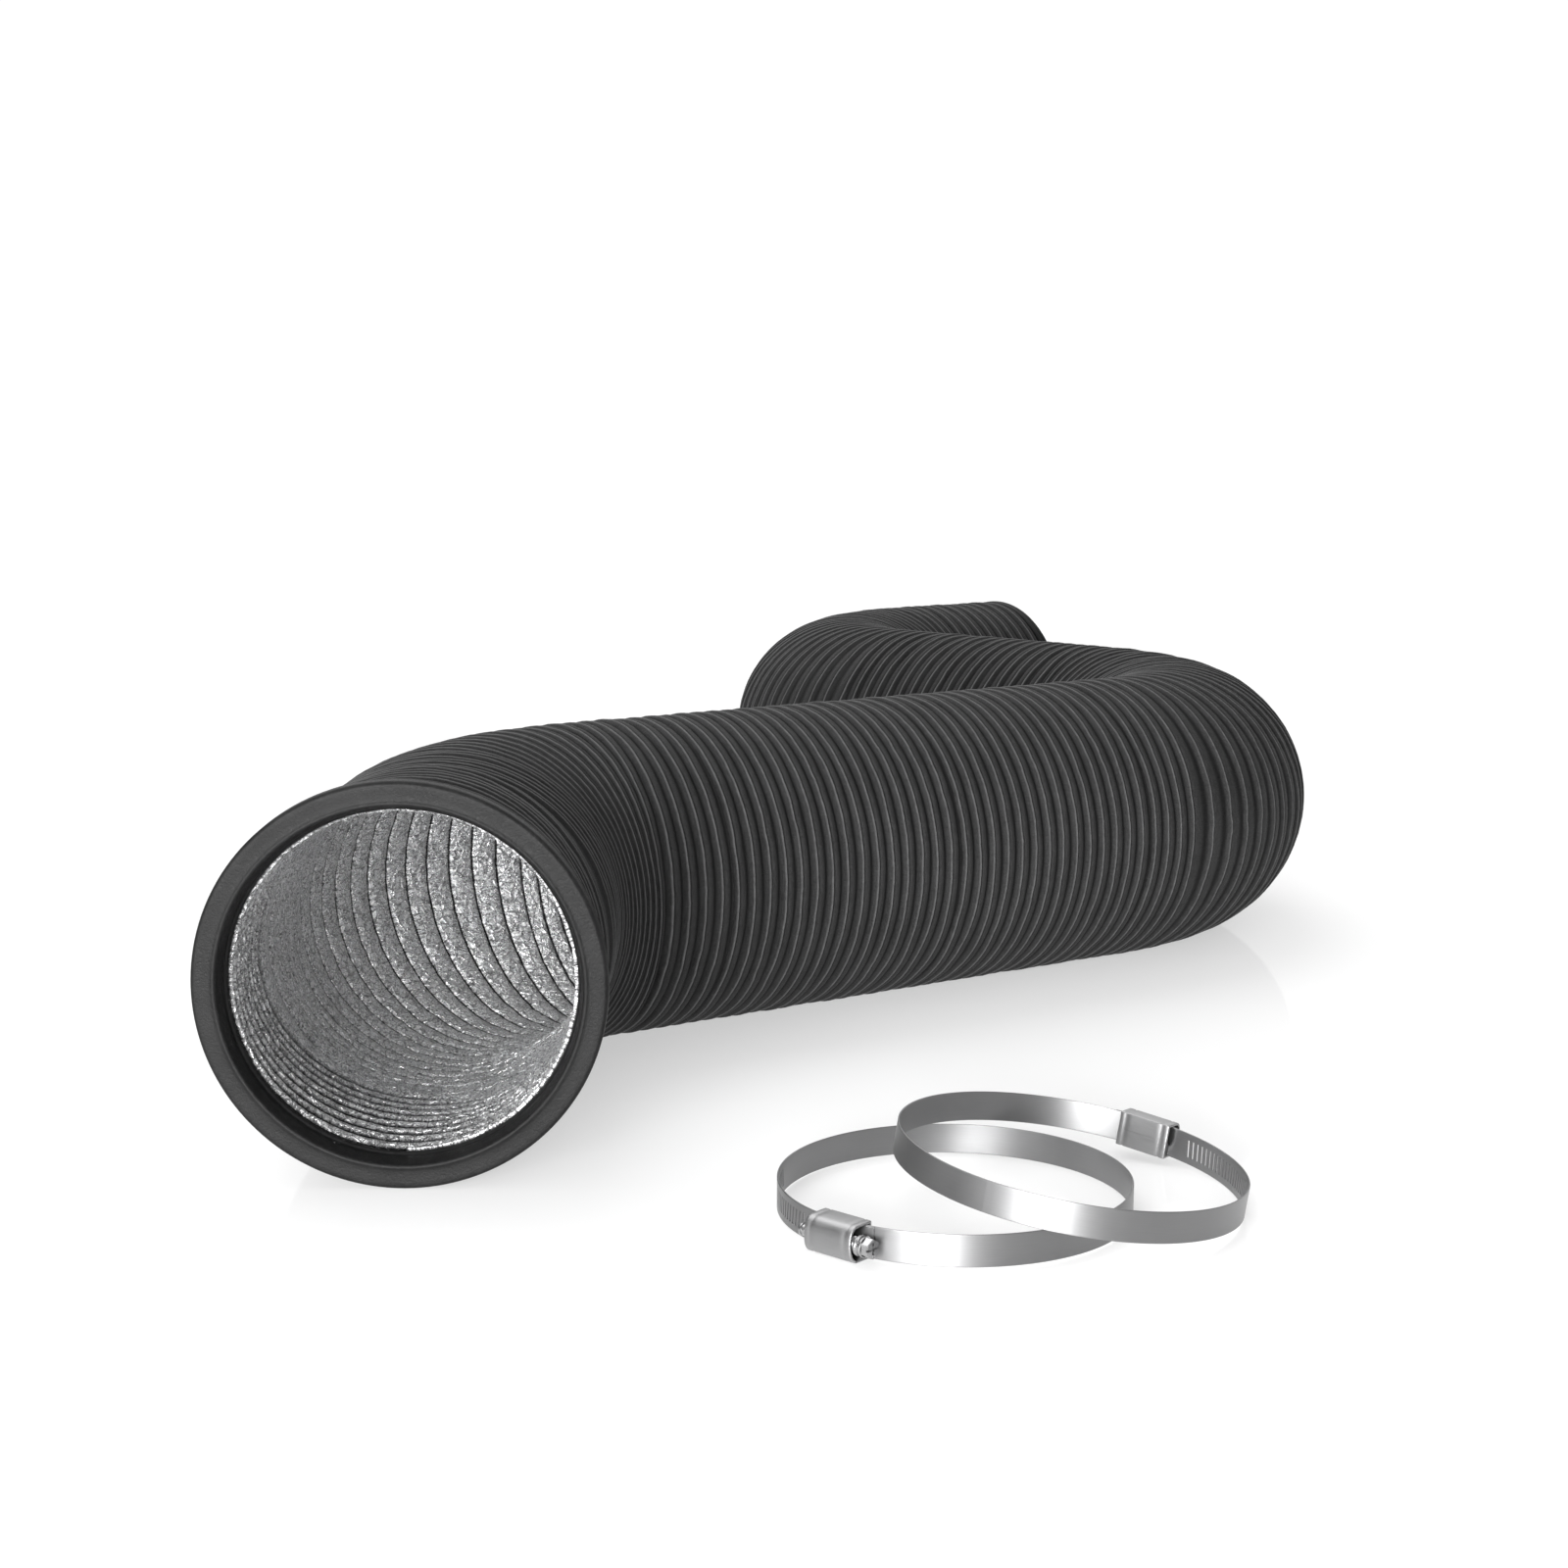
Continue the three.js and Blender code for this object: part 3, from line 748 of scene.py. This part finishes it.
def make_tail():
    """The far end's hem, with one moulded line round it."""
    start, end = DUCT_LENGTH - TAIL_RING, DUCT_LENGTH
    outer, inner = DUCT_RADIUS, LINER_BORE
    profile = [(start + 0.0002, inner), (start + 0.0002, outer - 0.0010)]
    profile += [(start + 0.0012, outer - 0.0003), (start + 0.0020, outer - 0.0002)]
    profile += [(start + 0.0028, outer - 0.0008), (start + 0.0036, outer - 0.0002)]
    profile += [(end - 0.0024, outer)]
    profile += arc((end - 0.0016, outer - 0.0016), 0.0016, 0, 90, 6)
    profile += [(end, outer - 0.0040), (end, inner + 0.0022)]
    profile += arc((end - 0.0014, inner + 0.0014), 0.0014, 90, 180, 6)
    profile.reverse()
    obj = turned_ring("tail_ring_moulding", profile)
    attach(obj, "stretch_8")
    finish_piece(obj, COLLAR, "collar", "tail_end_ring")


# ---------------------------------------------------------------- hose clamps
# A clamp's own frame: +Z is its ring's axis, +X points to the housing, and +Y to the screw's head.

JOINTS = {joint["name"]: joint for joint in frame["joints"]}


def clamp_frame(letter):
    loop, screw = JOINTS[f"clamp_{letter}_loop_close"], JOINTS[f"clamp_{letter}_screw_turn"]
    up = Vector(loop["axis"]).normalized()
    towards_head = -Vector(screw["axis"]).normalized()
    out = towards_head.cross(up).normalized()
    origin = Vector(screw["pos_m"]) - out * SCREW_RADIUS - up * (BAND_WIDTH / 2)
    matrix = Matrix((out, towards_head, up)).transposed().to_4x4()
    matrix.translation = origin
    return matrix


def band_lift(degrees):
    """The slotted end rides over the head end of the strip."""
    return (BAND_THICKNESS + 0.0003) * smoothstep((degrees - 300) / 45)


def strip_rows():
    """Heights across the strip from its middle, and half its thickness there: the edges are rounded."""
    half, edge, slot = BAND_WIDTH / 2, 0.00018, SLOT_HEIGHT / 2
    above = [slot / 2, slot, half - 3 * edge, half - edge, half - 0.4 * edge, half]
    heights = np.array([-height for height in above[::-1]] + [0] + above)
    rounded = [1, 1, 1, 1, 0.8, 0.45]
    thick = np.array(rounded[::-1] + [1] + rounded) * BAND_THICKNESS / 2
    return heights, thick


SLOT_ROWS = slice(4, 8)      # of the strip's quads across its width


def slot_tilt(heights, lean):
    """Degrees that each row is turned by where the slots lean; the strip's edges stay where they are."""
    half, slot = BAND_WIDTH / 2, SLOT_HEIGHT / 2
    shear = np.clip(heights, -slot, slot) * math.tan(math.radians(SLOT_LEAN)) / BAND_RADIUS
    fade = 1 - np.clip((np.abs(heights) - slot) / (half - slot), 0, 1)
    return np.degrees(shear * fade)[None, :] * lean[:, None]


def rim_quads(outside, hidden_offset):
    """Quads that join the open edges of the outside quads to the same edges of the inside."""
    directed = {}
    for face in outside:
        for a, b in zip(face, np.roll(face, -1)):
            directed[(int(a), int(b))] = True
    open_edges = [(a, b) for a, b in directed if (b, a) not in directed]
    return np.array([(b, a, a + hidden_offset, b + hidden_offset) for a, b in open_edges])


def strip(name, columns, lift, is_hole=None, lean=None):
    """A flat strip bent round the clamp. columns are degrees, and is_hole marks the gaps that are slots."""
    heights, thick = strip_rows()
    columns = np.asarray(columns, float)
    degrees = columns[:, None] + slot_tilt(heights, np.zeros(len(columns)) if lean is None else lean)
    middle = BAND_RADIUS - BAND_THICKNESS / 2 + lift(degrees)
    angle = np.radians(degrees)
    up = np.broadcast_to(heights + BAND_WIDTH / 2, angle.shape)
    layers = []
    for sign in (1, -1):
        r = middle + sign * thick[None, :]
        layers.append(np.stack([r * np.cos(angle), r * np.sin(angle), up], -1).reshape(-1, 3))
    count, width = degrees.shape
    index = np.arange(count * width).reshape(count, width)
    quads = np.stack([index[:-1, :-1], index[1:, :-1], index[1:, 1:], index[:-1, 1:]], -1)
    keep = np.ones(quads.shape[:2], bool)
    if is_hole is not None:
        keep[is_hole, SLOT_ROWS] = False
    outside = quads[keep]
    inside = outside[:, ::-1] + count * width
    faces = np.concatenate([outside, inside, rim_quads(outside, count * width)])
    uv = np.stack([angle * BAND_RADIUS, np.broadcast_to(heights, angle.shape)], -1).reshape(-1, 2)
    return mesh_object(name, np.concatenate(layers), faces, {"cloth": np.tile(uv, (2, 1))})


def sharpen(obj, degrees=35):
    """Smooth shading, broken at the edges sharper than this."""
    obj.data.set_sharp_from_angle(angle=math.radians(degrees))


def slotted_columns():
    """Degrees of the slotted half's columns, which of the gaps between them are slots, and their lean."""
    width = math.degrees(SLOT_WIDTH / BAND_RADIUS)
    pitch = math.degrees(SLOT_PITCH / BAND_RADIUS)
    slotted = []
    for k in reversed(range(SLOT_COUNT)):
        middle = 360 - FIRST_SLOT - k * pitch
        slotted += [middle - width / 2, middle - width / 6, middle + width / 6, middle + width / 2]
    before = list(np.linspace(180, slotted[0], 57)[:-1])
    after = list(np.linspace(slotted[-1] + 1.5, 372, 12))
    first, last = len(before), len(before) + len(slotted)
    columns = before + slotted + after
    is_hole = np.zeros(len(columns) - 1, bool)
    is_hole[first:last] = [True, True, True, False] * SLOT_COUNT
    lean = np.ones(len(columns))
    lean[:first] = np.clip((np.arange(first) - first + 6) / 6, 0, 1)
    lean[last:] = np.linspace(0.8, 0, len(after))
    return columns, is_hole, lean


def place_in(obj, matrix):
    obj.data.transform(matrix)


def roof_arc(half, shoulder, top):
    """The housing's arched roof from one side to the other, a little squarer than an ellipse."""
    points = []
    for angle in np.linspace(0, math.pi, 21):
        side = math.copysign(abs(math.cos(angle)) ** 0.8, math.cos(angle))
        points.append((shoulder + (top - shoulder) * math.sin(angle) ** 0.8, half * side))
    return points


def housing_profile():
    """The rolled cover's section, outside then inside: x outwards, z along the clamp's axis."""
    wall, lip = 0.0008, 0.00003
    foot, shoulder, roof = 0.0711, 0.0792, 0.0848
    side = BAND_WIDTH / 2 + 0.00025
    outer = side + wall
    bend = [(0.0, 0.0006), (0.00008, 0.00025), (0.00025, 0.00008), (0.0006, 0.0)]
    near_side = [(foot + rise, outer - inset) for rise, inset in bend]
    far_side = [(x, -z) for x, z in near_side[::-1]]
    points = [(foot, lip)] + near_side + roof_arc(outer, shoulder, roof) + far_side + [(foot, -lip)]
    points += [(foot + wall, -lip), (foot + wall, -side)]
    points += roof_arc(side, shoulder, roof - wall)[::-1]
    points += [(foot + wall, side), (foot + wall, lip)]
    return points


def housing_stations():
    """Places along the housing, and how far it is drawn in there: rounded ends, and a groove beside each."""
    half = HOUSING_LENGTH / 2
    end = [(0.0, 0.00022), (0.00012, 0.00008), (0.0003, 0.0)]
    bead = [(0.0022, 0.0), (0.0030, 0.00025), (0.0038, 0.0)]
    near = [(from_end - half, inset) for from_end, inset in end + bead]
    far = [(-y, inset) for y, inset in near[::-1]]
    return near + [(y, 0.0) for y in np.linspace(-0.0060, 0.0060, 7)] + far


def make_housing(letter, matrix):
    points, stations = housing_profile(), housing_stations()
    centre_x = 0.0782
    rows = []
    for y, inset in stations:
        row = []
        for x, z in points:
            shrink = 1 - inset / math.hypot(x - centre_x, z)
            row.append((centre_x + (x - centre_x) * shrink, y, z * shrink + BAND_WIDTH / 2))
        rows.append(row)
    n = len(points)
    index = np.arange(len(rows) * n).reshape(len(rows), n)
    beside = np.roll(index, -1, 1)
    quads = np.stack([index[:-1], index[1:], beside[1:], beside[:-1]], -1).reshape(-1, 4)
    # Each end's cap pairs points counted from the lips. The outside has six points more than the inside, so
    # the pairs drift apart, and near the far side the cap wrongly crosses a corner of the opening.
    caps = []
    for row, turn in ((index[0], 1), (index[-1], -1)):
        for k in range(n // 2 - 1):
            caps.append([row[k], row[k + 1], row[n - 2 - k], row[n - 1 - k]][::turn])
    girth = np.cumsum([0] + [math.dist(points[k], points[k + 1]) for k in range(n - 1)])
    uv = np.array([[(y, u) for u in girth] for y, _ in stations]).reshape(-1, 2)
    verts = np.array(rows).reshape(-1, 3)
    obj = mesh_object(f"clamp_{letter}_cover", verts, np.concatenate([quads, np.array(caps)]), {"cloth": uv})
    sharpen(obj, 50)
    place_in(obj, matrix)
    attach(obj, f"clamp_{letter}")
    finish_piece(obj, HOUSING, "housing", f"clamp_{letter}_housing")


def make_saddle(letter, matrix):
    """A short plate under the strip, inside the housing."""
    half_angle, below = 8.5, 0.0012
    columns = np.linspace(-half_angle, half_angle, 13)
    obj = strip(f"clamp_{letter}_saddle_plate", columns, lambda degrees: np.full(degrees.shape, -below))
    sharpen(obj)
    place_in(obj, matrix)
    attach(obj, f"clamp_{letter}")
    finish_piece(obj, HOUSING, "housing", f"clamp_{letter}_saddle")


# The screw's turned parts: place along its axis from the clamp's middle, and radius.
PIN = [(-0.0170, 0.0), (-0.0170, 0.0022), (-0.0168, 0.0026), (-0.0164, 0.0027), (-0.0158, 0.0027)]
PIN += [(-0.0155, 0.0023), (-0.0150, 0.0023), (-0.0147, 0.0027), (-0.0137, 0.0027), (-0.0134, 0.0024)]
PIN += [(-0.0134, 0.0019), (-0.0118, 0.0019)]
HEAD = [(0.0116, 0.0025), (0.0130, 0.0025), (0.0130, 0.0040), (0.0132, 0.0043), (0.0140, 0.0043)]
HEAD += [(0.0142, 0.00415), (0.0150, 0.00415), (0.0152, 0.0043), (0.0163, 0.0043), (0.0166, 0.0040)]
HEAD += [(0.0166, 0.0)]
WORM_START, WORM_END, WORM_ROWS = -0.0116, 0.0114, 96
WORM_CORE, THREAD_DEPTH, THREAD_FADE = 0.0022, 0.0011, 0.0012
HEXAGON = {"radius": 0.0041, "height": 0.0038, "middle": 0.0183}
CUT_MIDDLE, CUT_DEPTH, CUT_WIDTH = 0.0202, 0.0018, 0.0011
SLOT_CUT, CROSS_CUT = 0.0086, 0.0052       # lengths of the screwdriver's two slots


def worm_radius(y, around):
    """The worm's radius: a rounded thread of one slot pitch, which fades at both ends."""
    thread = 0.5 + 0.5 * np.cos(2 * math.pi * y / SLOT_PITCH - around)
    fade = smoothstep((y - WORM_START) / THREAD_FADE) * smoothstep((WORM_END - y) / THREAD_FADE)
    return WORM_CORE + THREAD_DEPTH * smoothstep(thread * 1.5 - 0.25) * float(fade)


def turned_rod(name):
    """Pin, worm, neck and round head as one closed rod about the Y axis."""
    sides = 32
    around = np.linspace(0, 2 * math.pi, sides, endpoint=False)
    rings = list(PIN)
    rings += [(y, worm_radius(y, around)) for y in np.linspace(WORM_START, WORM_END, WORM_ROWS)]
    rings += HEAD
    rows = [np.stack([r * np.cos(around), np.full(sides, y), -r * np.sin(around)], -1) for y, r in rings]
    verts = np.concatenate(rows)
    index = np.arange(len(rows) * sides).reshape(len(rows), sides)
    beside = np.roll(index, -1, 1)
    quads = np.stack([index[:-1], beside[:-1], beside[1:], index[1:]], -1).reshape(-1, 4)
    same = np.arange(len(verts))
    same[index[0]] = index[0, 0]
    same[index[-1]] = index[-1, 0]
    return mesh_object(name, verts, quads, None, same)


def add_hexagon(rod):
    data = bmesh.new()
    data.from_mesh(rod.data)
    bmesh.ops.dissolve_degenerate(data, dist=1e-7, edges=data.edges)
    place = Matrix.Translation((0, HEXAGON["middle"], 0)) @ Matrix.Rotation(-math.pi / 2, 4, "X")
    radius, height = HEXAGON["radius"], HEXAGON["height"]
    made = bmesh.ops.create_cone(
        data, cap_ends=True, segments=6, radius1=radius, radius2=radius, depth=height, matrix=place)
    edges = list(dict.fromkeys(edge for vert in made["verts"] for edge in vert.link_edges))
    bmesh.ops.bevel(data, geom=edges, offset=0.00022, segments=2, affect="EDGES")
    data.to_mesh(rod.data)
    data.free()


def make_cutter(name, across, upwards):
    """A box that cuts a slot of these lengths into the hexagon's top."""
    mesh = bpy.data.meshes.new(name)
    box = bmesh.new()
    size = Matrix.Diagonal((across, CUT_DEPTH, upwards, 1))
    bmesh.ops.create_cube(box, size=1, matrix=Matrix.Translation((0, CUT_MIDDLE, 0)) @ size)
    box.to_mesh(mesh)
    box.free()
    cutter = bpy.data.objects.new(name, mesh)
    bpy.context.scene.collection.objects.link(cutter)
    return cutter


def make_screw(letter, matrix):
    """The worm screw, with its hexagon and cross-slot head, about its own axis (+Y in the clamp's frame)."""
    rod = turned_rod(f"clamp_{letter}_worm_screw")
    add_hexagon(rod)
    apply_cut(rod, make_cutter("slot", SLOT_CUT, CUT_WIDTH))
    apply_cut(rod, make_cutter("cross", CUT_WIDTH, CROSS_CUT))
    sharpen(rod, 40)
    rod.data.transform(Matrix.Translation((SCREW_RADIUS, 0, BAND_WIDTH / 2)))
    place_in(rod, matrix)
    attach(rod, f"clamp_{letter}_worm")
    finish_piece(rod, SCREW, "screw", f"clamp_{letter}_screw")


def apply_cut(obj, cutter):
    """Cuts the cutter out of obj for good, and deletes it."""
    modifier = obj.modifiers.new("cut", "BOOLEAN")
    modifier.operation = "DIFFERENCE"
    modifier.object = cutter
    modifier.solver = "EXACT"
    modifier.use_self = True
    bpy.context.view_layer.update()
    evaluated = obj.evaluated_get(bpy.context.evaluated_depsgraph_get())
    made = bpy.data.meshes.new_from_object(evaluated)
    obj.modifiers.clear()
    old = obj.data
    obj.data = made
    bpy.data.meshes.remove(old)
    bpy.data.objects.remove(cutter)


def make_strips(letter, matrix):
    """The head half of the strip, and the slotted half beside the loop's far side."""
    head = strip(f"clamp_{letter}_plain_strip", np.linspace(-8, 180, 121), lambda degrees: 0 * degrees)
    sharpen(head)
    place_in(head, matrix)
    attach(head, f"clamp_{letter}")
    finish_piece(head, BAND, "band", f"clamp_{letter}_head_band")
    columns, is_hole, lean = slotted_columns()
    slotted = strip(f"clamp_{letter}_slotted_strip", columns, band_lift, is_hole, lean)
    sharpen(slotted)
    place_in(slotted, matrix)
    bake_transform(slotted)
    finish_piece(slotted, BAND, "band", f"clamp_{letter}_slotted_band")


def make_clamp(letter):
    matrix = clamp_frame(letter)
    make_strips(letter, matrix)
    make_housing(letter, matrix)
    make_saddle(letter, matrix)
    make_screw(letter, matrix)


make_camera()
make_floor()
make_light()
make_duct()
make_collar()
make_tail()
make_clamp("a")
make_clamp("b")
